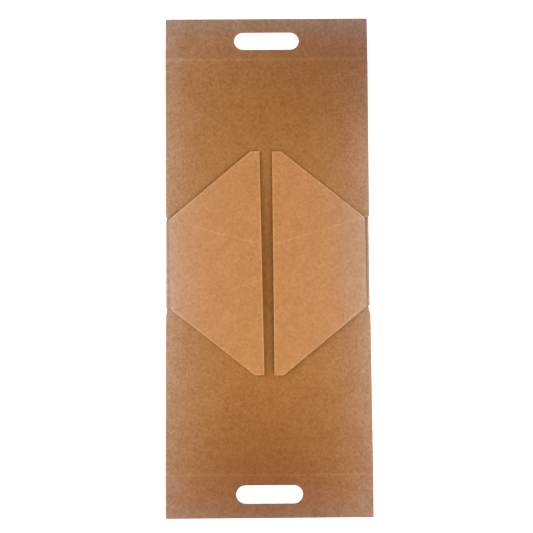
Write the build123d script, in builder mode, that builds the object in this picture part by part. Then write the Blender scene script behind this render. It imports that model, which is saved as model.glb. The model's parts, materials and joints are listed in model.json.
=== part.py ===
"""Flattened carrier box, die-cut and creased from one sheet of corrugated kraft board.

The sheet lies with its inside up.  Along Y it is handle flap, wall, base, wall, handle flap.
The two side flaps are hinged on the base's left and right edges and lie folded in over it, so
their outside is up.  Each side flap is a side panel with a glue wing on either side of it.

Millimetres, +Z up.  The origin is on the floor, under the middle of the base.
"""
from build123d import *
import os
from math import radians, sin, tan

# ---------------------------------------------------------------- the board and the blank
board = 3.0                # thickness of the single-wall board
panel_width = 280.0        # walls and handle flaps, along X
base_depth = 128.0         # between the two base creases, along Y
wall_length = 220.0        # base crease to handle crease
handle_depth = 58.0        # handle crease to the end of the blank
corner_radius = 1.0        # outer corners of the handle flaps

slot_length = 90.0         # hand slot, over its round ends
slot_width = 25.0
slot_from_end = 31.5       # middle of the hand slot to the end of the blank

# ---------------------------------------------------------------- how the creases sit
wall_rise = 1.4            # degrees, each wall rises from its base crease
handle_droop = 2.2         # degrees, each handle flap falls from its handle crease
score_width = 1.6          # pressed groove on the inside of a crease
score_depth = 0.5
crease_gap = 0.3           # between the two boards at a handle crease
crease_relief = 6.0        # degrees, each edge slants back below a handle crease

# ---------------------------------------------------------------- the side folds
fold_edge = 139.0          # outermost reach of the base board at a side fold
fold_half = 63.0           # half the length of each side fold
fold_clearance = 0.3       # between two boards that lie on or meet each other
left_ledge = 2.5           # the base board reaches this far past each flap's folded edge
right_ledge = 3.7
fold_radius = 1.2          # rounded shoulders of a folded edge
corner_taper = 6.0         # length over which a wall's corner comes out to full width
notch_depth = 1.7          # extra relief at the front right corner
notch_taper = 11.5

# ---------------------------------------------------------------- a side flap
hinge_half = 60.9          # half the length of the hinge edge
flap_reach = 128.2         # hinge edge to free edge
tip_half = 153.0           # half the length across the two clipped tips
tip_length = 12.6          # length of each clipped tip, along X
wing_angle = 16.0          # degrees, each wing crease to the base crease
free_edge_lift = 6.5       # the folded flap springs up this far at its free edge
rear_wing_droop = 1.6      # degrees, each wing bends down at its crease
front_wing_droop = 0.6
left_skew = 0.9            # degrees, how far out of square each flap has folded
right_skew = -0.2
left_slip = 1.0            # how far along Y each flap sits from the base's middle
right_slip = 2.9

# ---------------------------------------------------------------- worked out
base_half = base_depth / 2
half_width = panel_width / 2
handle_crease = base_half + wall_length
blank_end = handle_crease + handle_depth
crease_height = wall_length * tan(radians(wall_rise))
end_height = crease_height - handle_depth * tan(radians(handle_droop))
slot_middle = blank_end - slot_from_end
relief = board * tan(radians(crease_relief))
notch_start = right_slip - hinge_half
flap_edge = {-1: fold_edge - left_ledge, 1: fold_edge - right_ledge}   # by side, -1 is the left
flap_floor = board + fold_clearance
tall = 40.0                # height of the tool bodies that get trimmed to a panel


def wall_height(distance):
    """Underside of a wall at this distance from the middle of the base."""
    return (distance - base_half) * tan(radians(wall_rise))


# ---------------------------------------------------------------- base and walls
def wall_profile():
    """Side view of the rear wall, from the underside of its base crease round to the top."""
    wall_end = handle_crease - crease_gap / 2
    under_end = wall_end - relief
    half_score = score_width / 2
    return [
        (base_half, 0),
        (under_end, wall_height(under_end)),
        (wall_end, board + wall_height(wall_end)),
        (base_half + half_score, board + wall_height(base_half + half_score)),
        (base_half, board - score_depth),
        (base_half - half_score, board),
    ]


with BuildPart() as base_and_walls:
    with BuildSketch(Plane.YZ):
        rear = wall_profile()
        front = [(-along, height) for along, height in reversed(rear)]
        Polygon(*rear, *front, align=None)
    extrude(amount=half_width, both=True)
    # the side folds: the base is a little narrower than the walls, with eased wall corners
    with BuildSketch(Plane.XY):
        for side in (-1, 1):
            Polygon(
                (side * fold_edge, -fold_half),
                (side * fold_edge, fold_half),
                (side * half_width, fold_half + corner_taper),
                (side * (half_width + board), 0),
                (side * half_width, -fold_half - corner_taper),
                align=None,
            )
        Polygon(
            (fold_edge - notch_depth, notch_start),
            (half_width + board, notch_start),
            (half_width, notch_start - notch_taper),
            align=None,
        )
    extrude(amount=tall, both=True, mode=Mode.SUBTRACT)
    side_edges = base_and_walls.edges().filter_by(Axis.Y)
    fillet(side_edges.filter_by(lambda edge: abs(abs(edge.center().X) - fold_edge) < 0.01), fold_radius)

base_and_walls.part.label = "base_and_walls"


# ---------------------------------------------------------------- handle flaps
def handle_profile(end):
    """Side view of a handle flap; end is 1 at the rear and -1 at the front."""
    start = handle_crease + crease_gap / 2
    fall = tan(radians(handle_droop))
    top = board + crease_height - (start - handle_crease) * fall
    foot = crease_height - (start + relief - handle_crease) * fall
    return [
        (end * start, top),
        (end * blank_end, board + end_height),
        (end * blank_end, end_height),
        (end * (start + relief), foot),
    ]


def handle_slot(end):
    """The hand slot's outline, on the XY plane."""
    with BuildSketch(Plane.XY) as outline:
        with Locations((0, end * slot_middle)):
            SlotOverall(slot_length, slot_width)
    return outline.sketch


with BuildPart() as rear_handle_flap:
    with BuildSketch(Plane.YZ):
        Polygon(*handle_profile(1), align=None)
    extrude(amount=half_width, both=True)
    extrude(handle_slot(1), amount=tall, both=True, mode=Mode.SUBTRACT)
    fillet(rear_handle_flap.edges().filter_by(Axis.Z).group_by(Axis.Y)[-1], corner_radius)

rear_handle_flap.part.label = "rear_handle_flap"

with BuildPart() as front_handle_flap:
    with BuildSketch(Plane.YZ):
        Polygon(*handle_profile(-1), align=None)
    extrude(amount=half_width, both=True)
    extrude(handle_slot(-1), amount=tall, both=True, mode=Mode.SUBTRACT)
    fillet(front_handle_flap.edges().filter_by(Axis.Z).group_by(Axis.Y)[0], corner_radius)

front_handle_flap.part.label = "front_handle_flap"


# ---------------------------------------------------------------- side flaps
def flap_corners(side, skew, slip):
    """Plan corners of one side flap by name; side is 1 on the right and -1 on the left.

    The hinge edge stays parallel to Y.  The rest turns with the skew about the hinge's middle.
    """
    turn = radians(skew)

    def place(reach, along):
        x = reach - along * sin(turn)
        y = along + reach * sin(turn)
        return (side * (flap_edge[side] - x), y + slip)

    crease_half = hinge_half - flap_reach * tan(radians(wing_angle))
    return {
        "hinge rear": (side * flap_edge[side], hinge_half + slip),
        "hinge front": (side * flap_edge[side], -hinge_half + slip),
        "crease rear": place(flap_reach, crease_half),
        "crease front": place(flap_reach, -crease_half),
        "tip rear": place(flap_reach, tip_half),
        "tip front": place(flap_reach, -tip_half),
        "clip rear": place(flap_reach - tip_length, tip_half),
        "clip front": place(flap_reach - tip_length, -tip_half),
    }


def panel_height(side, corner):
    """Underside of the flap's side panel, extended, at a plan point."""
    reach = flap_edge[side] - side * corner[0]
    return flap_floor + free_edge_lift * reach / flap_reach


def face_up(origin, along, other):
    """The plane through three points, with its normal upwards."""
    x_dir = Vector(*along) - Vector(*origin)
    normal = x_dir.cross(Vector(*other) - Vector(*origin))
    if normal.Z < 0:
        normal = -normal
    return Plane(origin=origin, x_dir=x_dir, z_dir=normal)


def panel_plane(side, corners):
    """Underside of the side panel."""
    names = ("hinge front", "hinge rear", "crease rear")
    points = [(*corners[name], panel_height(side, corners[name])) for name in names]
    return face_up(*points)


def wing_plane(side, corners, end, droop):
    """Underside of a wing: it hinges on its crease and its tip falls with the droop."""
    hinge, crease, tip = (corners[f"{name} {end}"] for name in ("hinge", "crease", "tip"))
    line = Vector(*crease) - Vector(*hinge)
    arm = Vector(*tip) - Vector(*hinge)
    distance = line.cross(arm).length / line.length
    fall = distance * tan(radians(droop))
    points = [(*hinge, panel_height(side, hinge)), (*crease, panel_height(side, crease))]
    return face_up(*points, (*tip, panel_height(side, tip) - fall))


def panel(outline, underside):
    """One flat panel of board: a plan outline between two parallel slanted planes."""
    topside = underside.offset(board * underside.z_dir.Z)
    with BuildPart() as piece:
        with BuildSketch(Plane.XY):
            Polygon(*outline, align=None)
        extrude(amount=tall)
        split(bisect_by=underside, keep=Keep.TOP)
        split(bisect_by=topside, keep=Keep.BOTTOM)
    return piece.part


def score(start, finish):
    """A triangular groove along the underside, from one point to another."""
    run = Vector(*finish) - Vector(*start)
    across = Plane(origin=start, x_dir=run.cross(Vector(0, 0, 1)), z_dir=run)
    with BuildPart() as groove:
        with BuildSketch(across):
            Polygon((-score_width / 2, 0), (0, score_depth), (score_width / 2, 0), align=None)
        extrude(amount=run.length)
    return groove.part


def flap_pieces(side, skew, slip):
    """The side panel, the two wings and the two grooves of one side flap."""
    at = flap_corners(side, skew, slip)
    panels = [
        panel([at["hinge front"], at["hinge rear"], at["crease rear"], at["crease front"]],
              panel_plane(side, at)),
        panel([at["hinge rear"], at["clip rear"], at["tip rear"], at["crease rear"]],
              wing_plane(side, at, "rear", rear_wing_droop)),
        panel([at["hinge front"], at["clip front"], at["tip front"], at["crease front"]],
              wing_plane(side, at, "front", front_wing_droop)),
    ]
    grooves = []
    for end in ("rear", "front"):
        hinge, crease = at[f"hinge {end}"], at[f"crease {end}"]
        grooves.append(score((*hinge, panel_height(side, hinge)), (*crease, panel_height(side, crease))))
    return panels, grooves


left_panels, left_grooves = flap_pieces(-1, left_skew, left_slip)
right_panels, right_grooves = flap_pieces(1, right_skew, right_slip)

with BuildPart() as left_side_flap:
    add(left_panels)
    fillet(left_side_flap.edges().filter_by(Axis.Y).group_by(Axis.X)[0], fold_radius)
    add(left_grooves, mode=Mode.SUBTRACT)

left_side_flap.part.label = "left_side_flap"

with BuildPart() as right_side_flap:
    add(right_panels)
    fillet(right_side_flap.edges().filter_by(Axis.Y).group_by(Axis.X)[-1], fold_radius)
    add(right_grooves, mode=Mode.SUBTRACT)

right_side_flap.part.label = "right_side_flap"

# ---------------------------------------------------------------- export
os.makedirs("parts", exist_ok=True)
export_step(base_and_walls.part, "parts/base_and_walls.step")
export_step(rear_handle_flap.part, "parts/rear_handle_flap.step")
export_step(front_handle_flap.part, "parts/front_handle_flap.step")
export_step(left_side_flap.part, "parts/left_side_flap.step")
export_step(right_side_flap.part, "parts/right_side_flap.step")
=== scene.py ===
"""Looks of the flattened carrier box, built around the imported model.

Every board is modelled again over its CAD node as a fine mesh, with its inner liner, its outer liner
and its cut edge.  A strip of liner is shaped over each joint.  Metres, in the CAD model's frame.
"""

import json
from math import cos, pi, radians, sin, tan

import bmesh
import bpy
import numpy as np
from mathutils import Matrix, Vector, kdtree
from mathutils.geometry import delaunay_2d_cdt


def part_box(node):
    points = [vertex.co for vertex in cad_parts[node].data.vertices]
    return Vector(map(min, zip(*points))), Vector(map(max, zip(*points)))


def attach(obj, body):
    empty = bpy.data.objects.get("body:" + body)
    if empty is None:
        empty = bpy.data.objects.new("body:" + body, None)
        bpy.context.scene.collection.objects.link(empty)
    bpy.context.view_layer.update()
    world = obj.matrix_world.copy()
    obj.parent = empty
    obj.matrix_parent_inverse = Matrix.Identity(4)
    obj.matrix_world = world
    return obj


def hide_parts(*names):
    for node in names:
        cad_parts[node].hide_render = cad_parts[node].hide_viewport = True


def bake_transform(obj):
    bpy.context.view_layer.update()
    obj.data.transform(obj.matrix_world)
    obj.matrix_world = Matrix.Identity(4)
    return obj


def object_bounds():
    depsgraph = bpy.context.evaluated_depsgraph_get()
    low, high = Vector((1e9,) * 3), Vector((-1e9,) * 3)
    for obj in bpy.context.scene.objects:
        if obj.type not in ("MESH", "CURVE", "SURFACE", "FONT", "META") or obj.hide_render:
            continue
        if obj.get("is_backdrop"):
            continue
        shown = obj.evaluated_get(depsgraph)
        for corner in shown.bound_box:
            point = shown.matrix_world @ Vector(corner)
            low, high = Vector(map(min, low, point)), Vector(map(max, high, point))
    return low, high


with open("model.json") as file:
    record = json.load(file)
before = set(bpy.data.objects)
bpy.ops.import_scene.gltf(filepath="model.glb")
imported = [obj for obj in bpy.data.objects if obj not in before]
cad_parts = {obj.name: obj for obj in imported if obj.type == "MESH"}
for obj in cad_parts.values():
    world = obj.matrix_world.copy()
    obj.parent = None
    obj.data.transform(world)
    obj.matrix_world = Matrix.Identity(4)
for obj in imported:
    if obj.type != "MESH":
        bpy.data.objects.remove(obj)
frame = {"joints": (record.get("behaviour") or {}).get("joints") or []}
cad_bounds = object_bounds()

MM = 0.001
LEFT, RIGHT = -1, 1
REAR, FRONT = 1, -1

# ---------------------------------------------------------------- sizes of the board and the blank
BOARD = 3.0 * MM
BASE_HALF = 64.0 * MM            # middle of the base to a base crease, along Y
HALF_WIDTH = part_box("base_and_walls")[1].x
BLANK_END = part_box("rear_handle_flap")[1].y
JOINTS = {joint["name"]: Vector(joint["pos_m"]) for joint in frame["joints"]}
HANDLE_CREASE = JOINTS["rear_crease"].y
WALL_SLOPE = tan(radians(1.4))
HANDLE_SLOPE = -tan(radians(2.2))
CREASE_RISE = (HANDLE_CREASE - BASE_HALF) * WALL_SLOPE
CREASE_GAP = 0.3 * MM            # between the two boards at a handle crease
CREASE_RELIEF = 0.32 * MM        # each edge slants back below a handle crease

SLOT_LENGTH = 90.0 * MM
SLOT_WIDTH = 25.0 * MM
SLOT_FROM_END = 31.5 * MM

# ---------------------------------------------------------------- the side folds
FOLD_EDGE = 139.0 * MM           # outermost reach of the base at a side fold
FOLD_HALF = 63.0 * MM
CORNER_TAPER = 6.0 * MM
NOTCH_DEPTH = 1.7 * MM           # extra relief at the front right corner
NOTCH_TAPER = 11.5 * MM
NOTCH_RAMP = 5.0 * MM
CUT_RADIUS = 0.35 * MM           # a cut edge is slightly crushed over

# ---------------------------------------------------------------- a side flap
HINGE_HALF = 60.9 * MM
FLAP_REACH = 128.2 * MM
TIP_HALF = 153.0 * MM
TIP_LENGTH = 12.6 * MM
WING_ANGLE = radians(16.0)
FLAP_FLOOR = 3.3 * MM            # underside of a folded flap at its hinge edge
FREE_EDGE_LIFT = 6.5 * MM
WING_DROOP = {REAR: tan(radians(1.6)), FRONT: tan(radians(0.6))}

# Each side flap: its hinge edge's distance from the middle of the base, how far it has turned out of
# square and slipped along Y, how much further in its hinge edge really lies at either end, and how
# far its fold bulges out.  Then its looks: how strong the painted highlight on the wing creases is
# (partly the creased liner's own paleness), where the press has left lines beside the hinge edge,
# how deep the painted shade in the groove beside the fold is at either end, and how pale the fold's
# worn spots are, by their places along Y.
FLAPS = {
    "left": {
        "side": LEFT,
        "edge": -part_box("left_side_flap")[0].x,
        "turn": radians(0.9),
        "slip": 1.0 * MM,
        "hinge_in": {REAR: 0.4 * MM, FRONT: 2.8 * MM},
        "bulge": 0.80 * MM,
        "crease_highlight": {REAR: 0.55, FRONT: 0.40},
        "score_lines": (3.2 * MM, 6.6 * MM),
        "groove": {REAR: 0.08, FRONT: 0.12},
        "worn": {-40 * MM: 0.8, -29 * MM: 0.6, -14 * MM: 0.9, -3 * MM: 0.5, 9 * MM: 0.8},
    },
    "right": {
        "side": RIGHT,
        "edge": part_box("right_side_flap")[1].x,
        "turn": radians(-0.2),
        "slip": 2.9 * MM,
        "hinge_in": {REAR: 1.6 * MM, FRONT: 0.7 * MM},
        "bulge": 0.05 * MM,
        "crease_highlight": {REAR: 0.65, FRONT: 0.10},
        "score_lines": (2.6 * MM,),
        "groove": {REAR: 0.50, FRONT: 0.22},
        "worn": {},
    },
}


def smooth(t):
    """0 to 1 with no kink at either end."""
    t = np.clip(t, 0, 1)
    return t * t * (3 - 2 * t)


def ridge(distance, width):
    """1 on a line, falling away on both sides of it."""
    return np.exp(-(distance / width) ** 2)


def between(pair, share):
    """The value at a share of the way from the pair's first to its second."""
    return pair[0] + (pair[1] - pair[0]) * share


def by_end(values, y):
    """The rear's value where y is positive, and the front's elsewhere."""
    return np.where(y > 0, values[REAR], values[FRONT])


# ---------------------------------------------------------------- outlines
CORNER_EASE = 0.6 * MM           # how far from a corner its small curve starts
EASE_STEPS = (0.25, 0.5, 0.75)
EDGE_STEP = 1.5 * MM             # between the mesh points along an edge
CLOSEST_STEP = 0.25 * MM
DENSE_NEAR = 4.0 * MM            # a dense spot counts for an edge this near to it
DENSE_STEPS = [step * MM for step in np.linspace(-2.4, 2.4, 9)]
NEARLY_STRAIGHT = 1e-3           # sine of the turn at a corner


def run(x, y, folded=False, lean=0.0):
    """A corner of an outline, and the edge that starts there.

    folded says that liner wraps that edge; lean is how far it slants back towards the underside.
    """
    return {"at": Vector((x, y)), "folded": folded, "lean": lean}


def run_shares(corners, dense):
    """Shares of each edge's length where its mesh points lie, closer together near the dense spots."""
    shares = []
    for i, corner in enumerate(corners):
        start, finish = corner["at"], corners[(i + 1) % len(corners)]["at"]
        length = (finish - start).length
        along = (finish - start) / length
        found = list(np.linspace(0, 1, max(2, round(length / EDGE_STEP) + 1)))
        for spot in dense:
            offset = Vector(spot) - start
            reached = offset.dot(along)
            if (offset - along * reached).length < DENSE_NEAR:
                found += [(reached + step) / length for step in DENSE_STEPS]
        kept = [0.0]
        for share in sorted(found):
            if (share - kept[-1]) * length > CLOSEST_STEP and (1 - share) * length > CLOSEST_STEP:
                kept.append(share)
        shares.append(kept + [1.0])
    return shares


def drawn_in(corners, inset, depth):
    """The outline's corners drawn in by inset at a depth from 0, the top, to 1; and its directions."""
    count = len(corners)
    at = [corner["at"] for corner in corners]
    along = [(at[(i + 1) % count] - at[i]).normalized() for i in range(count)]
    inward = [Vector((-line.y, line.x)) for line in along]
    drawn = [inset + corner["lean"] * depth for corner in corners]
    points = []
    for i in range(count):
        j = i - 1
        turn = along[j].x * along[i].y - along[j].y * along[i].x
        point = at[i] + inward[i] * drawn[i]
        if abs(turn) > NEARLY_STRAIGHT:
            # slide along this edge's own inset line until it also meets the one before
            gap = drawn[j] - inward[j].dot(point - at[i])
            point = point + along[i] * (gap / inward[j].dot(along[i]))
        points.append(point)
    return points, along


def ring(corners, shares, inset, depth):
    """The outline drawn in, with eased corners, as points at shares of each edge."""
    count = len(corners)
    drawn, along = drawn_in(corners, inset, depth)
    lengths = [(drawn[(i + 1) % count] - drawn[i]).length for i in range(count)]
    ease = [min(CORNER_EASE, lengths[i - 1] / 3, lengths[i] / 3) for i in range(count)]
    points = []
    for i in range(count):
        j = (i + 1) % count
        start, finish = drawn[i] + along[i] * ease[i], drawn[j] - along[i] * ease[j]
        before = drawn[i] - along[i - 1] * ease[i]
        for t in EASE_STEPS:
            points.append((1 - t) ** 2 * before + 2 * t * (1 - t) * drawn[i] + t * t * start)
        points += [start.lerp(finish, share) for share in shares[i]]
    return points


def inside(points, loop):
    """Which points lie in a closed loop."""
    x, y = points[:, 0], points[:, 1]
    found = np.zeros(len(points), bool)
    for (x1, y1), (x2, y2) in zip(loop, np.roll(loop, -1, axis=0)):
        if y1 != y2:
            crosses = (y1 > y) != (y2 > y)
            found ^= crosses & (x < (x2 - x1) * (y - y1) / (y2 - y1) + x1)
    return found


# ---------------------------------------------------------------- a board as a mesh
EDGE_INSETS = (3.0 * MM, 1.6 * MM, 0.8 * MM, 0.3 * MM)    # rows inward of the rounding
ARC = [radians(a) for a in (0, 22, 45, 68, 90)]
SIDE_SHARES = (0.3, 0.5, 0.7)
CUT_BOW = 0.08 * MM              # the cut face is a little hollow between its liners
GRID = 5.0 * MM                  # between the mesh points inside a board
CREASE_STEP = 2.5 * MM           # between the mesh points along a crease
CREASE_BAND = 4.2 * MM           # the rows along a crease replace the grid this near to it
ROW_OFFSETS = [offset * MM for offset in (-3.0, -1.8, -1.1, -0.6, -0.2, 0.2, 0.6, 1.1, 1.8, 3.0)]
CLEAR_OF_RIM = 0.9 * MM
RIM_HIGHLIGHT_WIDTH = 1.5 * MM            # painted highlight on the crushed rim, this near to a cut edge
TOP, UNDER, CUT, FOLD = range(4)


def edge_rows():
    """An edge's section from the top face to the underside: rows of (inset, depth, drop, slot)."""
    rows = [(CUT_RADIUS + inset, 0.0, 0.0, TOP) for inset in EDGE_INSETS]
    rows += [(CUT_RADIUS * (1 - sin(a)), 0.0, CUT_RADIUS * (1 - cos(a)), TOP) for a in ARC]
    rows += [(CUT_BOW * sin(pi * share), share, 0.0, CUT) for share in SIDE_SHARES]
    rows += [(CUT_RADIUS * (1 - sin(a)), 1.0, CUT_RADIUS * (1 - cos(a)), UNDER) for a in reversed(ARC)]
    rows += [(CUT_RADIUS + inset, 1.0, 0.0, UNDER) for inset in reversed(EDGE_INSETS)]
    return rows


def with_crease_rows(grid, start, finish):
    """The grid with close rows along one crease in place of its own points there."""
    length = np.linalg.norm(finish - start)
    line = (finish - start) / length
    across = np.array([-line[1], line[0]])
    beside = np.abs((grid - start) @ across) < CREASE_BAND
    alongside = ((grid - start) @ line > -GRID) & ((grid - finish) @ line < GRID)
    steps = np.linspace(0, length, round(length / CREASE_STEP))
    rows = [start + line * step + across * offset for offset in ROW_OFFSETS for step in steps]
    return np.vstack([grid[~(beside & alongside)], rows])


class BoardMesh:
    """Plan points, how far down the board each lies, and the faces between them."""

    def __init__(self, outlines, creases, dense):
        self.plan, self.depth, self.drop, self.rim_highlight = [], [], [], []
        self.faces, self.slots = [], []
        self.section = edge_rows()
        self.rims = [self.add_edge(corners, run_shares(corners, dense)) for corners in outlines]
        self.add_middle(self.middle_points(creases))

    def add_point(self, plan, depth, drop=0.0, rim_highlight=0.0):
        self.plan.append(tuple(plan))
        self.depth.append(depth)
        self.drop.append(drop)
        self.rim_highlight.append(rim_highlight)
        return len(self.plan) - 1

    def add_edge(self, corners, shares):
        """The rows round one outline; returns the points of its innermost top row."""
        rings = [ring(corners, shares, inset, depth) for inset, depth, _, _ in self.section]
        folded = []
        for corner, found in zip(corners, shares):
            folded += [corner["folded"]] * (len(EASE_STEPS) + len(found))
        rows, count, first = len(self.section), len(folded), len(self.plan)
        for i in range(count):
            for k, (inset, depth, drop, _) in enumerate(self.section):
                # painted highlight on the crushed rim of a cut edge
                rim_highlight = float(ridge(max(inset - CUT_RADIUS, 0.0), RIM_HIGHLIGHT_WIDTH))
                self.add_point(rings[k][i], depth, drop, 0.0 if folded[i] else rim_highlight)
        for i in range(count):
            a, b = first + i * rows, first + (i + 1) % count * rows
            for k in range(rows - 1):
                slot = max(self.section[k][3], self.section[k + 1][3])
                self.faces.append((a + k, a + k + 1, b + k + 1, b + k))
                self.slots.append(FOLD if slot == CUT and folded[i] else slot)
        return [first + i * rows for i in range(count)]

    def loop(self, rim):
        return [self.plan[i] for i in rim]

    def within(self, points):
        """Which points lie inside the outer rim and outside the holes."""
        found = inside(points, self.loop(self.rims[0]))
        for hole in self.rims[1:]:
            found &= ~inside(points, self.loop(hole))
        return found

    def middle_points(self, creases):
        """A triangular grid, with close rows along the creases, that keeps clear of the rims."""
        outer = self.loop(self.rims[0])
        low, high = np.min(outer, axis=0), np.max(outer, axis=0)
        levels = np.arange(low[1], high[1], GRID * sin(pi / 3))
        grid = np.array([(x, y) for j, y in enumerate(levels)
                         for x in np.arange(low[0] + (j % 2) * GRID / 2, high[0], GRID)])
        for start, finish in creases:
            grid = with_crease_rows(grid, np.array(start), np.array(finish))
        grid = grid[self.within(grid)]
        rim = [point for rim in self.rims for point in self.loop(rim)]
        tree = kdtree.KDTree(len(rim))
        for index, point in enumerate(rim):
            tree.insert((*point, 0), index)
        tree.balance()
        return [point for point in grid if tree.find((*point, 0))[2] > CLEAR_OF_RIM]

    def add_middle(self, grid):
        """Triangles over the grid between the rims, on the top and on the underside."""
        last = len(self.section) - 1
        upper = [i for rim in self.rims for i in rim]
        lower = [i + last for i in upper]
        flat = [Vector(self.plan[i]) for i in upper] + [Vector(point) for point in grid]
        upper += [self.add_point(point, 0.0) for point in grid]
        lower += [self.add_point(point, 1.0) for point in grid]
        edges, start = [], 0
        for rim in self.rims:
            edges += [(start + i, start + (i + 1) % len(rim)) for i in range(len(rim))]
            start += len(rim)
        made = delaunay_2d_cdt(flat, edges, [], 0, 1e-7)
        triangles = [[made[3][i][0] for i in face] for face in made[2]]
        middles = np.array([(flat[a] + flat[b] + flat[c]) / 3 for a, b, c in triangles])
        for corners, kept in zip(triangles, self.within(middles)):
            if kept:
                self.faces.append([upper[i] for i in corners])
                self.faces.append([lower[i] for i in reversed(corners)])
                self.slots += [TOP, UNDER]


def mesh_object(name, points, faces, slots, attributes, materials):
    """A smooth-shaded mesh object with its point attributes and material slots."""
    mesh = bpy.data.meshes.new(name)
    mesh.from_pydata([tuple(point) for point in points], [], [tuple(face) for face in faces])
    mesh.polygons.foreach_set("material_index", slots)
    mesh.polygons.foreach_set("use_smooth", [True] * len(faces))
    for key, values in attributes.items():
        attribute = mesh.attributes.new(key, "FLOAT", "POINT")
        attribute.data.foreach_set("value", np.asarray(values, np.float32))
    for material in materials:
        mesh.materials.append(material)
    mesh.update()
    thing = bpy.data.objects.new(name, mesh)
    bpy.context.scene.collection.objects.link(thing)
    return thing


def board(name, outlines, creases, dense, surfaces, materials):
    """A board from its plan outlines, the outer one first, and the functions for its surfaces.

    surfaces holds top and under, the heights at plan points, tone, the attributes there, and
    edge_highlight, how strong the highlight painted along the cut edges is.
    """
    made = BoardMesh(outlines, creases, dense)
    x, y = np.array(made.plan).T
    depth, drop = np.array(made.depth), np.array(made.drop)
    z = surfaces["top"](x, y) * (1 - depth) + surfaces["under"](x, y) * depth
    z += np.where(depth == 0, -drop, drop)
    attributes = surfaces["tone"](x, y)
    # painted highlight along the cut edges, added to the tone's own wear and highlights
    attributes["pale"] = np.clip(attributes["pale"] + surfaces["edge_highlight"] * np.array(made.rim_highlight), 0, 1)
    attributes["depth"] = 1 - depth
    return mesh_object(name, np.stack([x, y, z], 1), made.faces, made.slots, attributes, materials)


def strip(name, section, stations, place, tone, materials):
    """A closed strip through the stations.

    section gives the two sides of its section at a station, point for point; place puts a point
    of the section at a station; tone gives the attributes at a point of the section and a station.
    """
    columns = len(section(stations[0])[0])
    points, faces, slots = [], [], []
    attributes = {"fade": [], "dull": [], "ashen": [], "pale": [], "depth": []}
    for station in stations:
        upper, lower = section(station)
        for k, corner in enumerate([*upper, *lower]):
            points.append(place(corner, station))
            for key, value in tone(upper[k % columns], station).items():
                attributes[key].append(value)
            attributes["depth"].append(1.0 if k < columns else 0.0)
    for j in range(len(stations) - 1):
        here, after = 2 * columns * j, 2 * columns * (j + 1)
        for k in range(columns - 1):
            faces.append((here + k, after + k, after + k + 1, here + k + 1))
            under = here + columns + k
            faces.append((under, under + 1, under + 1 + 2 * columns, under + 2 * columns))
            slots += [TOP, UNDER]
        for k, turned in ((0, False), (columns - 1, True)):
            face = (here + k, here + columns + k, after + columns + k, after + k)
            faces.append(tuple(reversed(face)) if turned else face)
            slots.append(CUT)
    for here, turned in ((0, False), (2 * columns * (len(stations) - 1), True)):
        for k in range(columns - 1):
            face = (here + k, here + k + 1, here + columns + k + 1, here + columns + k)
            faces.append(tuple(reversed(face)) if turned else face)
            slots.append(CUT)
    thing = mesh_object(name, points, faces, slots, attributes, materials)
    fix_normals(thing.data)
    return thing


def fix_normals(mesh):
    """Turns every face of a closed mesh outwards."""
    work = bmesh.new()
    work.from_mesh(mesh)
    bmesh.ops.recalc_face_normals(work, faces=work.faces)
    work.to_mesh(mesh)
    work.free()


# ---------------------------------------------------------------- materials
INNER_KRAFT = (0.258, 0.102, 0.021)
OUTER_KRAFT = (0.344, 0.147, 0.0455)
# painted sheen: the paler, greyer tone of the sides and of the flaps towards their hinge edges
SHEEN_KRAFT = (0.345, 0.236, 0.173)
# painted shade: darker towards the ends, and in the groove beside each side fold
SHADE_KRAFT = (0.138, 0.037, 0.005)
# painted greyish sheen at the two ends
END_SHEEN_KRAFT = (0.223, 0.165, 0.134)
FRAYED_KRAFT = (0.430, 0.205, 0.078)
CUT_KRAFT = (0.220, 0.092, 0.024)
# painted shade in the flutes' hollows
HOLLOW_SHADE_KRAFT = (0.050, 0.019, 0.005)
WEAR_AND_HIGHLIGHT_LIFT = (0.23, 0.34, 0.52)   # how much lighter the liner is where it is worn, and where highlights are painted along its creases and edges
FLUTE_PITCH = 6.3                # millimetres between the crests of the medium
CLOUD_SIZE, CLOUD_GAIN = 24.0, 0.20      # the grain's sizes, in millimetres, and how strong each is
MOTTLE_SIZE, MOTTLE_GAIN = 4.5, 0.50
FIBRE_SIZE, FIBRE_GAIN = 0.9, 0.75
INNER_GRAIN = (0.95, 1.65, 3.4)  # how strongly the pulp's grain shows in red, green and blue
OUTER_GRAIN = (0.90, 1.20, 1.9)
INNER_STREAK, OUTER_STREAK = 0.35, 0.8   # less than 1 draws the fibres out along Y
MOTTLE_HEIGHT, FIBRE_HEIGHT = 0.6, 0.4
LINER_BUMP, LINER_BUMP_DEPTH = 0.20, 0.10 * MM
NOISE_SPAN = (0.3, 0.7)          # where most of a noise's values lie
LINER_ROUGHNESS = (0.82, 0.94)
FLUTE_SWING = 0.36               # on a cut edge, as shares of the board's thickness
FLUTE_LINE = (0.10, 0.20)
LINER_LINE = (0.36, 0.44)
FRAY_SIZE = 1.2                  # millimetres
FRAY_SPAN, FRAY_MOST = (0.45, 0.62), 0.9
LIGHT_SPAN, LIGHT_MOST = (0.35, 0.7), 0.25
CUT_BUMP, CUT_BUMP_DEPTH = 0.5, 0.4 * MM
CUT_ROUGHNESS = (0.85, 0.98)


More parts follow.
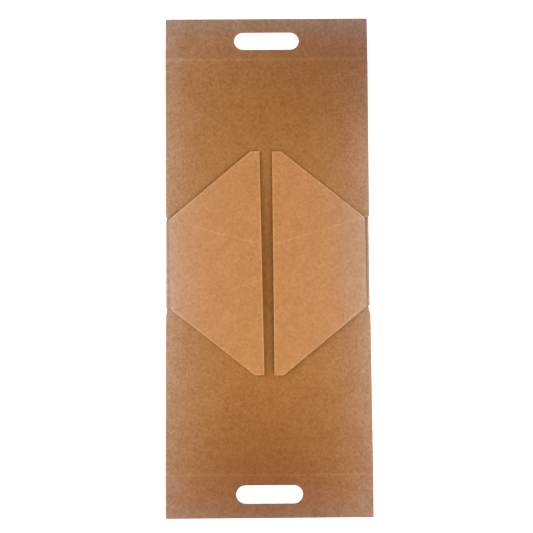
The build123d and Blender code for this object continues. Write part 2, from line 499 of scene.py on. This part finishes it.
class Nodes:
    """Short calls for building a node tree."""

    def __init__(self, name):
        self.material = bpy.data.materials.new(name)
        self.material.use_nodes = True
        self.tree = self.material.node_tree
        self.shader = self.tree.nodes["Principled BSDF"]

    def add(self, kind, **settings):
        node = self.tree.nodes.new(kind)
        for key, value in settings.items():
            setattr(node, key, value)
        return node

    def put(self, socket, value):
        """Links a value into a socket, or sets the socket to it."""
        if isinstance(value, bpy.types.NodeSocket):
            self.tree.links.new(value, socket)
        else:
            socket.default_value = value

    def place(self, stretch=(1, 1, 1)):
        """Object coordinates in millimetres, stretched."""
        mapping = self.add("ShaderNodeMapping")
        self.put(mapping.inputs["Vector"], self.add("ShaderNodeTexCoord").outputs["Object"])
        self.put(mapping.inputs["Scale"], tuple(1000 * s for s in stretch))
        return mapping.outputs["Vector"]

    def noise(self, size, detail=2.0, rough=0.55, stretch=(1, 1, 1)):
        """Noise whose features are about size millimetres across."""
        node = self.add("ShaderNodeTexNoise")
        self.put(node.inputs["Vector"], self.place(stretch))
        for key, value in (("Scale", 1.0 / size), ("Detail", detail), ("Roughness", rough)):
            self.put(node.inputs[key], value)
        return node.outputs["Fac"]

    def range(self, value, low, high, to_low=0.0, to_high=1.0):
        node = self.add("ShaderNodeMapRange", interpolation_type="SMOOTHSTEP")
        for index, given in enumerate((value, low, high, to_low, to_high)):
            self.put(node.inputs[index], given)
        return node.outputs[0]

    def math(self, operation, *values):
        node = self.add("ShaderNodeMath", operation=operation)
        for index, value in enumerate(values):
            self.put(node.inputs[index], value)
        return node.outputs[0]

    def vector(self, operation, *values):
        node = self.add("ShaderNodeVectorMath", operation=operation)
        for index, value in enumerate(values):
            self.put(node.inputs[index], value)
        return node.outputs[0]

    def spread(self, value):
        """One value as a vector."""
        node = self.add("ShaderNodeCombineXYZ")
        for socket in node.inputs:
            self.put(socket, value)
        return node.outputs[0]

    def swing(self, noise, gain):
        """Noise about zero, this strong."""
        return self.math("MULTIPLY_ADD", noise, gain, -0.5 * gain)

    def mix(self, share, a, b):
        node = self.add("ShaderNodeMix", data_type="RGBA")
        self.put(node.inputs[0], share)
        for index, value in ((6, a), (7, b)):
            self.put(node.inputs[index], (*value, 1.0) if isinstance(value, tuple) else value)
        return node.outputs[2]

    def attribute(self, name):
        return self.add("ShaderNodeAttribute", attribute_name=name).outputs["Fac"]

    def bump(self, height, strength, distance):
        node = self.add("ShaderNodeBump")
        for key, value in (("Height", height), ("Strength", strength), ("Distance", distance)):
            self.put(node.inputs[key], value)
        self.put(self.shader.inputs["Normal"], node.outputs["Normal"])

    def finish(self, colour, roughness, specular):
        self.put(self.shader.inputs["Base Color"], colour)
        self.put(self.shader.inputs["Roughness"], roughness)
        self.shader.inputs["Specular IOR Level"].default_value = specular
        return self.material


def liner(name, colour, grain_colour, streak):
    """Kraft liner: painted sheen at the sides and ends, painted shade towards the ends and in the
    fold's groove, paler where worn and with painted highlights along creases and edges, with soft
    grain.
    """
    n = Nodes(name)
    clouds = n.noise(CLOUD_SIZE)
    mottle = n.noise(MOTTLE_SIZE, detail=2.5)
    fibres = n.noise(FIBRE_SIZE, rough=0.6, stretch=(1.0, streak, 1.0))
    # painted sheen along the sides
    tone = n.mix(n.attribute("fade"), colour, SHEEN_KRAFT)
    # painted shade
    tone = n.mix(n.attribute("dull"), tone, SHADE_KRAFT)
    # painted greyish sheen at the ends
    tone = n.mix(n.attribute("ashen"), tone, END_SHEEN_KRAFT)
    # lighter where the liner is worn, and where highlights are painted along creases and edges
    lighter = n.vector("MULTIPLY_ADD", n.spread(n.attribute("pale")), WEAR_AND_HIGHLIGHT_LIFT, (1, 1, 1))
    tone = n.vector("MULTIPLY", tone, lighter)
    grain = n.math("ADD", n.swing(clouds, CLOUD_GAIN), n.swing(mottle, MOTTLE_GAIN))
    grain = n.math("ADD", grain, n.swing(fibres, FIBRE_GAIN))
    factor = n.vector("MULTIPLY_ADD", n.spread(grain), grain_colour, (1, 1, 1))
    raised = n.math("MULTIPLY", mottle, MOTTLE_HEIGHT)
    height = n.math("ADD", raised, n.math("MULTIPLY", fibres, FIBRE_HEIGHT))
    n.bump(height, LINER_BUMP, LINER_BUMP_DEPTH)
    roughness = n.range(mottle, *NOISE_SPAN, *LINER_ROUGHNESS)
    return n.finish(n.vector("MULTIPLY", tone, factor), roughness, specular=0.25)


def cut_edge(name):
    """The cut face of corrugated board: two liners, and the wavy medium between hollows painted dark as
    their shade.
    """
    n = Nodes(name)
    split = n.add("ShaderNodeSeparateXYZ")
    n.put(split.inputs[0], n.place())
    wave = n.math("SINE", n.math("MULTIPLY", split.outputs["X"], 2 * pi / FLUTE_PITCH))
    middle = n.math("MULTIPLY_ADD", wave, FLUTE_SWING, 0.5)
    depth = n.attribute("depth")
    medium = n.range(n.math("ABSOLUTE", n.math("SUBTRACT", depth, middle)), *FLUTE_LINE, 1.0, 0.0)
    liners = n.range(n.math("ABSOLUTE", n.math("SUBTRACT", depth, 0.5)), *LINER_LINE)
    rough = n.noise(FRAY_SIZE, detail=3.0, rough=0.6)
    board_parts = n.math("MAXIMUM", medium, liners)
    frayed = n.math("MAXIMUM", board_parts, n.range(rough, *FRAY_SPAN, 0.0, FRAY_MOST))
    # painted shade in the hollows between the medium and the liners
    tone = n.mix(frayed, HOLLOW_SHADE_KRAFT, CUT_KRAFT)
    tone = n.mix(n.range(rough, *LIGHT_SPAN, 0.0, LIGHT_MOST), tone, FRAYED_KRAFT)
    n.bump(frayed, CUT_BUMP, CUT_BUMP_DEPTH)
    return n.finish(tone, n.range(rough, *NOISE_SPAN, *CUT_ROUGHNESS), specular=0.15)


inner_liner = liner("inner_liner", INNER_KRAFT, INNER_GRAIN, INNER_STREAK)
outer_liner = liner("outer_liner", OUTER_KRAFT, OUTER_GRAIN, OUTER_STREAK)
cut_face = cut_edge("cut_edge")
INSIDE_UP = [inner_liner, outer_liner, cut_face, outer_liner]
OUTSIDE_UP = [outer_liner, inner_liner, cut_face, outer_liner]


# ---------------------------------------------------------------- tone over the sheet
# painted sheen along the sides of the sheet
SIDE_SHEEN, SIDE_SHEEN_REACH = 0.55, 30.0 * MM
# painted greyish sheen at the two ends of the sheet
END_SHEEN = {REAR: 0.58, FRONT: 0.32}
END_SHEEN_REACH = {REAR: 30.0 * MM, FRONT: 26.0 * MM}
# painted shade towards the ends of the sheet
REAR_SHADE = (0.22, 0.70)         # at the left side and at the right
FRONT_SHADE = (0.375, 0.855)      # at both sides and in the middle
SHADE_START = {REAR: 95 * MM, FRONT: 115 * MM}
SHADE_RUN = 225 * MM
# painted highlight along the handle and base creases, partly the pressed liner's own paleness
CREASE_HIGHLIGHT = {REAR: 0.60, FRONT: 0.55}
CREASE_HIGHLIGHT_WIDTH = 1.5 * MM
BASE_CREASE_HIGHLIGHT = 0.30
BASE_CREASE_HIGHLIGHT_WIDTH = 0.8 * MM


def fade(x, y):
    """How much painted sheen lies along the sides, paler and greyer towards them."""
    return SIDE_SHEEN * np.exp(-(HALF_WIDTH - np.abs(x)) / SIDE_SHEEN_REACH)


def ashen(x, y):
    """How much painted greyish sheen lies at the two ends."""
    return by_end(END_SHEEN, y) * np.exp(-(BLANK_END - np.abs(y)) / by_end(END_SHEEN_REACH, y))


def dull(x, y):
    """How much painted shade lies on the liner: greyer and darker towards the ends, most at the rear
    right and the front middle.
    """
    across = x / HALF_WIDTH
    most = {REAR: between(REAR_SHADE, smooth((across + 1) / 2)),
            FRONT: between(FRONT_SHADE, smooth(1 - np.abs(across)))}
    return by_end(most, y) * smooth((np.abs(y) - by_end(SHADE_START, y)) / SHADE_RUN)


def sheet_tone(x, y):
    # painted highlights along the creases, partly the pressed liner's own paleness
    crease = by_end(CREASE_HIGHLIGHT, y) * ridge(np.abs(y) - HANDLE_CREASE, CREASE_HIGHLIGHT_WIDTH)
    base_crease = BASE_CREASE_HIGHLIGHT * ridge(np.abs(y) - BASE_HALF, BASE_CREASE_HIGHLIGHT_WIDTH)
    return {"fade": fade(x, y), "dull": dull(x, y), "ashen": ashen(x, y), "pale": crease + base_crease}


# ---------------------------------------------------------------- base and walls
GROOVE_DEPTH = 0.30 * MM         # pressed into the inside at a base crease
GROOVE_WIDTH = 0.9 * MM
LIP_DEPTH = 0.16 * MM            # how far the liner dips at a handle crease
LIP_WIDTH = 1.3 * MM
CRUSH_WIDTH = 4.5 * MM           # the base's board is crushed thinner at a side fold
CRUSH_DEPTH = 0.5 * MM
CRUSH_EASE = 4.0 * MM            # the crushing fades out this far past the fold's ends
# painted highlight along the sheet's cut edges
SHEET_EDGE_HIGHLIGHT = 0.25


def wall_rise(y):
    """How far the sheet's underside stands off the floor."""
    return np.maximum(np.abs(y) - BASE_HALF, 0) * WALL_SLOPE


def sheet_under(x, y):
    return wall_rise(y)


def sheet_top(x, y):
    z = BOARD + wall_rise(y)
    z = z - GROOVE_DEPTH * ridge(np.abs(y) - BASE_HALF, GROOVE_WIDTH)
    z = z - LIP_DEPTH * ridge(HANDLE_CREASE - np.abs(y), LIP_WIDTH)
    folded = 1 - smooth((np.abs(y) - FOLD_HALF) / CRUSH_EASE)
    crushed = smooth((np.abs(x) - (FOLD_EDGE - CRUSH_WIDTH)) / CRUSH_WIDTH)
    return z - CRUSH_DEPTH * folded * crushed


def make_sheet():
    wall_end = HANDLE_CREASE - CREASE_GAP / 2
    notch_start = FLAPS["right"]["slip"] - HINGE_HALF
    taper_end = FOLD_HALF + CORNER_TAPER
    outline = [
        run(-HALF_WIDTH, -wall_end, lean=CREASE_RELIEF),
        run(HALF_WIDTH, -wall_end),
        run(HALF_WIDTH, notch_start - NOTCH_TAPER),
        run(FOLD_EDGE - NOTCH_DEPTH, notch_start),
        run(FOLD_EDGE, notch_start + NOTCH_RAMP, folded=True),
        run(FOLD_EDGE, FOLD_HALF),
        run(HALF_WIDTH, taper_end),
        run(HALF_WIDTH, wall_end, lean=CREASE_RELIEF),
        run(-HALF_WIDTH, wall_end),
        run(-HALF_WIDTH, taper_end),
        run(-FOLD_EDGE, FOLD_HALF, folded=True),
        run(-FOLD_EDGE, -FOLD_HALF),
        run(-HALF_WIDTH, -taper_end),
    ]
    creases = [((-HALF_WIDTH, y), (HALF_WIDTH, y)) for y in (BASE_HALF, -BASE_HALF)]
    dense = [point for crease in creases for point in crease]
    surfaces = {"top": sheet_top, "under": sheet_under, "tone": sheet_tone,
                "edge_highlight": SHEET_EDGE_HIGHLIGHT}
    piece = board("base_and_walls_board", [outline], creases, dense, surfaces, INSIDE_UP)
    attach(piece, "sheet")
    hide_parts("base_and_walls")


make_sheet()


# ---------------------------------------------------------------- handle flaps
SLOT_END_STEPS = 16              # runs round each end of a hand slot


def handle_under(x, y):
    return CREASE_RISE + (np.abs(y) - HANDLE_CREASE) * HANDLE_SLOPE


def handle_top(x, y):
    return BOARD + handle_under(x, y) - LIP_DEPTH * ridge(np.abs(y) - HANDLE_CREASE, LIP_WIDTH)


def slot_outline(end):
    """The hand slot's outline, walked the other way round, as for any hole."""
    radius = SLOT_WIDTH / 2
    half_run = SLOT_LENGTH / 2 - radius
    middle = end * (BLANK_END - SLOT_FROM_END)
    corners = []
    for side in (RIGHT, LEFT):
        for k in range(SLOT_END_STEPS + 1):
            turn = pi / 2 - pi * k / SLOT_END_STEPS
            x = half_run + radius * cos(turn)
            corners.append(run(side * x, middle + side * radius * sin(turn)))
    return corners


def make_handle(name, end):
    start = HANDLE_CREASE + CREASE_GAP / 2
    if end == REAR:
        outline = [
            run(-HALF_WIDTH, start, lean=CREASE_RELIEF),
            run(HALF_WIDTH, start),
            run(HALF_WIDTH, BLANK_END),
            run(-HALF_WIDTH, BLANK_END),
        ]
    else:
        outline = [
            run(-HALF_WIDTH, -BLANK_END),
            run(HALF_WIDTH, -BLANK_END),
            run(HALF_WIDTH, -start, lean=CREASE_RELIEF),
            run(-HALF_WIDTH, -start),
        ]
    surfaces = {"top": handle_top, "under": handle_under, "tone": sheet_tone,
                "edge_highlight": SHEET_EDGE_HIGHLIGHT}
    outlines = [outline, slot_outline(end)]
    piece = board(f"{name}_handle_board", outlines, [], [], surfaces, INSIDE_UP)
    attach(piece, f"{name}_handle")
    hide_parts(f"{name}_handle_flap")


make_handle("rear", REAR)
make_handle("front", FRONT)


# ---------------------------------------------------------------- side flaps
ROLL_REACH = 3.0 * MM            # the board is rolled over this close to its hinge edge
ROLL_DROP = 0.7 * MM
HINGE_EASE = 1.6 * MM            # a hinge corner is cut off this far from its point
SCORE_AT = 4.6 * MM              # a faint pressed line beside the fold
SCORE_DEPTH = 0.10 * MM
SCORE_WIDTH = 0.6 * MM
SCORE_HIGHLIGHT = 0.20                # painted highlight on the lines the press has left along the fold
SCORE_HIGHLIGHT_WIDTH = 0.8 * MM
HINGE_HIGHLIGHT = 0.28                # painted highlight on the fold's shoulder, partly its worn liner's own paleness
HINGE_HIGHLIGHT_WIDTH = 1.1 * MM
WING_HIGHLIGHT_WIDTH = 0.9 * MM
WING_GROOVE = 0.16 * MM
WING_GROOVE_WIDTH = 0.8 * MM
# painted sheen on a flap, strongest at its hinge edge
FLAP_SHEEN = 0.70
FLAP_SHEEN_REACH = 30.0 * MM
# painted highlight along the flap's cut edges
FLAP_EDGE_HIGHLIGHT = 0.85


def flap_place(flap, reach, along):
    """Plan point of a place on the flap, which has folded slightly out of square."""
    x = reach - along * sin(flap["turn"])
    y = along + reach * sin(flap["turn"])
    return flap["side"] * (flap["edge"] - x), y + flap["slip"]


def hinge_reach(flap, y):
    """How far from the middle the hinge edge lies; it has folded slightly out of parallel."""
    share = (1 + (y - flap["slip"]) / HINGE_HALF) / 2
    return flap["edge"] - between((flap["hinge_in"][FRONT], flap["hinge_in"][REAR]), share)


def flap_corners(flap):
    """Plan corners of a side flap, by name and end."""
    crease_half = HINGE_HALF - FLAP_REACH * tan(WING_ANGLE)
    corners = {}
    for end in (REAR, FRONT):
        y = end * HINGE_HALF + flap["slip"]
        corners["hinge", end] = (flap["side"] * hinge_reach(flap, y), y)
        corners["crease", end] = flap_place(flap, FLAP_REACH, end * crease_half)
        corners["tip", end] = flap_place(flap, FLAP_REACH, end * TIP_HALF)
        corners["clip", end] = flap_place(flap, FLAP_REACH - TIP_LENGTH, end * TIP_HALF)
    return corners


def past_crease(corners, end, x, y):
    """Distance past a wing crease, on to the wing."""
    hinge, crease, tip = (Vector(corners[name, end]) for name in ("hinge", "crease", "tip"))
    line = (crease - hinge).normalized()
    across = Vector((-line.y, line.x))
    if (tip - hinge).dot(across) < 0:
        across = -across
    return (x - hinge.x) * across.x + (y - hinge.y) * across.y


def flap_surfaces(flap, corners):
    """The heights and the tone of a side flap, as functions of the plan point."""

    def reach_of(x, y):
        return hinge_reach(flap, y) - flap["side"] * x

    def under(x, y):
        z = FLAP_FLOOR + FREE_EDGE_LIFT * (flap["edge"] - flap["side"] * x) / FLAP_REACH
        for end in (REAR, FRONT):
            z = z - WING_DROOP[end] * np.maximum(past_crease(corners, end, x, y), 0)
        return z

    def top(x, y):
        reach = reach_of(x, y)
        z = under(x, y) + BOARD - ROLL_DROP * (1 - smooth(reach / ROLL_REACH))
        z = z - SCORE_DEPTH * ridge(reach - SCORE_AT, SCORE_WIDTH)
        for end in (REAR, FRONT):
            z = z - WING_GROOVE * ridge(past_crease(corners, end, x, y), WING_GROOVE_WIDTH)
        return z

    def tone(x, y):
        reach = reach_of(x, y)
        # painted highlights along the hinge edge, the score lines and the wing creases, partly the
        # creased liner's own paleness
        pale = HINGE_HIGHLIGHT * ridge(reach, HINGE_HIGHLIGHT_WIDTH)
        for line in flap["score_lines"]:
            pale = pale + SCORE_HIGHLIGHT * ridge(reach - line, SCORE_HIGHLIGHT_WIDTH)
        for end, strength in flap["crease_highlight"].items():
            pale = pale + strength * ridge(past_crease(corners, end, x, y), WING_HIGHLIGHT_WIDTH)
        # painted sheen, strongest at the hinge edge
        sheen = FLAP_SHEEN * np.exp(-np.maximum(reach, 0) / FLAP_SHEEN_REACH)
        return {"fade": sheen, "dull": 0 * reach, "ashen": 0 * reach, "pale": pale}

    return {"top": top, "under": under, "tone": tone, "edge_highlight": FLAP_EDGE_HIGHLIGHT}


def flap_outline(flap, corners):
    """Round the flap anticlockwise, with each hinge corner cut off."""
    order = [(name, REAR) for name in ("hinge", "clip", "tip")]
    order += [(name, FRONT) for name in ("tip", "clip", "hinge")]
    if flap["side"] == LEFT:
        order.reverse()
    points = []
    for i, key in enumerate(order):
        here = Vector(corners[key])
        if key[0] != "hinge":
            points.append((here, ""))
            continue
        for beside in (order[i - 1], order[(i + 1) % len(order)]):
            toward = (Vector(corners[beside]) - here).normalized()
            points.append((here + toward * HINGE_EASE, beside[0]))
    outline = []
    for i, (point, beside) in enumerate(points):
        following = points[(i + 1) % len(points)][1]
        outline.append(run(*point, folded=beside == following == "hinge"))
    return outline


def make_flap(name, flap):
    corners = flap_corners(flap)
    outline = flap_outline(flap, corners)
    creases = [(corners["hinge", end], corners["crease", end]) for end in (REAR, FRONT)]
    dense = [corners["crease", end] for end in (REAR, FRONT)]
    surfaces = flap_surfaces(flap, corners)
    piece = board(f"{name}_flap_board", [outline], creases, dense, surfaces, OUTSIDE_UP)
    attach(piece, f"{name}_flap")
    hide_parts(f"{name}_side_flap")


for flap_name, flap in FLAPS.items():
    make_flap(flap_name, flap)


# ---------------------------------------------------------------- liner bent round the side folds
LINER = 0.25 * MM                # thickness of a bent strip
FOLD_TURN = 0.35 * MM            # the strip turns over this far to either side of the joint's axis
FOLD_STEP = 2.0 * MM
FOLD_SHORT = 0.7 * MM            # the strip stops this far short of the hinge corners
FOLD_FOOT = (-0.05, 0.35)        # millimetres past the base's edge, and height
FOLD_SHOULDER = ((0.10, 1.2), (0.08, 1.9), (-0.12, 2.45), (-0.50, 2.80))   # past the bulge
FOLD_RISER = ((0.45, 3.35), (0.12, 3.75), (-0.02, 4.5))                    # past the hinge edge
CROWN = BOARD + 0.08 * MM        # height of the strip over the joint's axis
CROWN_POINTS = 7
CROWN_RISE = 0.06 * MM
GROOVE_AT = 1.1 * MM             # past the joint's axis
GROOVE_HEIGHT = CROWN + 0.08 * MM
GROOVE_SHADE_START = 0.4 * MM          # past the joint's axis the strip's painted shade deepens into the groove
GROOVE_SHADE_RUN = 0.6 * MM
WORN_HALF = 2.2 * MM             # half the length of a worn spot


def fold_section(flap, axis, y):
    """The strip's outer face from the base's edge up to the flap's, as (distance out, height)."""
    bulge, hinge = FOLD_EDGE + flap["bulge"], hinge_reach(flap, y)
    section = [(FOLD_EDGE + FOLD_FOOT[0] * MM, FOLD_FOOT[1] * MM)]
    section += [(bulge + out * MM, height * MM) for out, height in FOLD_SHOULDER]
    for share in np.linspace(0, 1, CROWN_POINTS):
        section.append((axis + FOLD_TURN * (1 - 2 * share), CROWN + CROWN_RISE * share))
    section.append((axis - GROOVE_AT, GROOVE_HEIGHT))
    return section + [(hinge + out * MM, height * MM) for out, height in FOLD_RISER]


def thickened(section, thickness):
    """The section again, this much further in."""
    points = [Vector(point) for point in section]
    inner = []
    for i, point in enumerate(points):
        along = (points[min(i + 1, len(points) - 1)] - points[max(i - 1, 0)]).normalized()
        inner.append(tuple(point + Vector((-along.y, along.x)) * thickness))
    return inner


def make_fold_liner(name, flap):
    joint = JOINTS[f"{name}_fold"]
    axis = abs(joint.x)
    ends = [flap["slip"] + end * (HINGE_HALF - FOLD_SHORT) for end in (FRONT, REAR)]
    stations = np.linspace(*ends, round((ends[1] - ends[0]) / FOLD_STEP))

    def section(y):
        upper = fold_section(flap, axis, y)
        return upper, thickened(upper, LINER)

    def place(corner, y):
        return flap["side"] * corner[0], y, corner[1]

    def tone(corner, y):
        share = (y - ends[0]) / (ends[1] - ends[0])
        # painted shade in the groove beside the fold, deeper at one end than the other
        most = between((flap["groove"][FRONT], flap["groove"][REAR]), share)
        groove = most * float(smooth((axis - GROOVE_SHADE_START - corner[0]) / GROOVE_SHADE_RUN))
        worn = sum(size * float(ridge(y - spot, WORN_HALF)) for spot, size in flap["worn"].items())
        return {"fade": FLAP_SHEEN, "dull": groove, "ashen": 0.0, "pale": min(worn, 1.0)}

    piece = strip(f"{name}_fold_liner", section, stations, place, tone, OUTSIDE_UP)
    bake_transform(piece)


for flap_name, flap in FLAPS.items():
    make_fold_liner(flap_name, flap)


# ---------------------------------------------------------------- liner at the handle creases
PLUG_HALF = 0.9 * MM             # reach of the strip to either side of the crease
PLUG_COLUMNS = 15
PLUG_WIDTH = HALF_WIDTH - 0.4 * MM
PLUG_PROUD = 0.05 * MM
PLUG_RADIUS = BOARD + 0.2 * MM   # underside of the strip to the joint's axis
PLUG_FLAT = 0.5 * MM             # flat this far from the crease, then the two faces draw together
PLUG_TOP_SLANT, PLUG_UNDER_SLANT = 0.4, 0.6
PLUG_STEP = 5.0 * MM


def make_crease_liner(name, end):
    joint = JOINTS[f"{name}_crease"]
    upper, lower = [], []
    for offset in np.linspace(-PLUG_HALF, PLUG_HALF, PLUG_COLUMNS):
        past_flat = max(abs(offset) - PLUG_FLAT, 0)
        dip = LIP_DEPTH * float(ridge(offset, LIP_WIDTH))
        upper.append((offset, BOARD + CREASE_RISE + PLUG_PROUD - dip - past_flat * PLUG_TOP_SLANT))
        lower.append((offset, joint.z - PLUG_RADIUS + past_flat * PLUG_UNDER_SLANT))
    stations = np.linspace(-PLUG_WIDTH, PLUG_WIDTH, round(2 * PLUG_WIDTH / PLUG_STEP))

    def section(x):
        return upper, lower

    def place(corner, x):
        return x, end * (HANDLE_CREASE + corner[0]), corner[1]

    def tone(corner, x):
        spot = np.array([x]), np.array([end * (HANDLE_CREASE + corner[0])])
        return {key: float(value[0]) for key, value in sheet_tone(*spot).items()}

    piece = strip(f"{name}_crease_liner", section, stations, place, tone, INSIDE_UP)
    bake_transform(piece)


make_crease_liner("rear", REAR)
make_crease_liner("front", FRONT)


# ---------------------------------------------------------------- stage, light and camera
FLOOR_HALF = 6.0
FLOOR_LEVEL = -0.2 * MM
FLOOR_TONES = ((0.90, 0.90, 0.90), (0.93, 0.93, 0.93))
FLOOR_CLOUDS = 400.0             # millimetres
FLOOR_GLOW = 0.55                # a light table, so that the box's own shadow stays faint
WORLD_STRENGTH = 0.52
SOFTBOXES = {
    "left_softbox": {"place": (-1.01, 0.35, 1.12), "size": 1.5, "power": 19.2},
    "right_softbox": {"place": (0.64, -0.85, 1.12), "size": 1.5, "power": 24.4},
}
CAMERA_PLACE = Vector((-6.4, -53.7, 1017.4)) * MM
CAMERA_TILT = 0.05021            # radians, forward of straight down
CAMERA_YAW = -0.00428
CAMERA_ROLL = -0.00694


def make_floor():
    mesh = bpy.data.meshes.new("floor")
    corners = [(x * FLOOR_HALF, y * FLOOR_HALF, FLOOR_LEVEL)
               for x, y in ((-1, -1), (1, -1), (1, 1), (-1, 1))]
    mesh.from_pydata(corners, [], [(0, 1, 2, 3)])
    floor = bpy.data.objects.new("floor", mesh)
    bpy.context.scene.collection.objects.link(floor)
    n = Nodes("floor")
    tone = n.mix(n.range(n.noise(FLOOR_CLOUDS), 0.4, 0.6), *FLOOR_TONES)
    n.shader.inputs["Emission Color"].default_value = (1.0, 1.0, 1.0, 1.0)
    n.shader.inputs["Emission Strength"].default_value = FLOOR_GLOW
    mesh.materials.append(n.finish(tone, roughness=0.9, specular=0.3))
    floor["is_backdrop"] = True


def make_softbox(name, place, size, power):
    """A round soft lamp that faces the middle of the box."""
    data = bpy.data.lights.new(name, "AREA")
    data.shape = "DISK"
    data.size = size
    data.energy = power
    lamp = bpy.data.objects.new(name, data)
    bpy.context.scene.collection.objects.link(lamp)
    lamp.location = place
    lamp.rotation_mode = "QUATERNION"
    lamp.rotation_quaternion = (-Vector(place)).to_track_quat("-Z", "Y")


def make_studio():
    world = bpy.data.worlds.new("studio")
    bpy.context.scene.world = world
    world.use_nodes = True
    background = world.node_tree.nodes["Background"]
    background.inputs["Color"].default_value = (1.0, 1.0, 1.0, 1.0)
    background.inputs["Strength"].default_value = WORLD_STRENGTH
    for name, settings in SOFTBOXES.items():
        make_softbox(name, **settings)


def make_camera():
    """Looks down on the box, nearly square to it."""
    right = Vector((1, 0, 0))
    up = Vector((0, cos(CAMERA_TILT), sin(CAMERA_TILT)))
    ahead = Vector((0, sin(CAMERA_TILT), -cos(CAMERA_TILT)))
    right, ahead = (cos(CAMERA_YAW) * right + sin(CAMERA_YAW) * ahead,
                    cos(CAMERA_YAW) * ahead - sin(CAMERA_YAW) * right)
    right, up = (cos(CAMERA_ROLL) * right + sin(CAMERA_ROLL) * up,
                 cos(CAMERA_ROLL) * up - sin(CAMERA_ROLL) * right)
    data = bpy.data.cameras.new("camera")
    data.lens = 50.0
    data.sensor_width = 36.0
    data.clip_start = 0.05
    seat = bpy.data.objects.new("camera", data)
    bpy.context.scene.collection.objects.link(seat)
    turn = Matrix((right, up, -ahead)).transposed()
    seat.matrix_world = Matrix.Translation(CAMERA_PLACE) @ turn.to_4x4()
    bpy.context.scene.camera = seat


make_floor()
make_studio()
make_camera()
bpy.context.scene.view_settings.view_transform = "Standard"

boxes = {"cad": cad_bounds, "visual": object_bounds()}
{name: [list(corner) for corner in box] for name, box in boxes.items()}
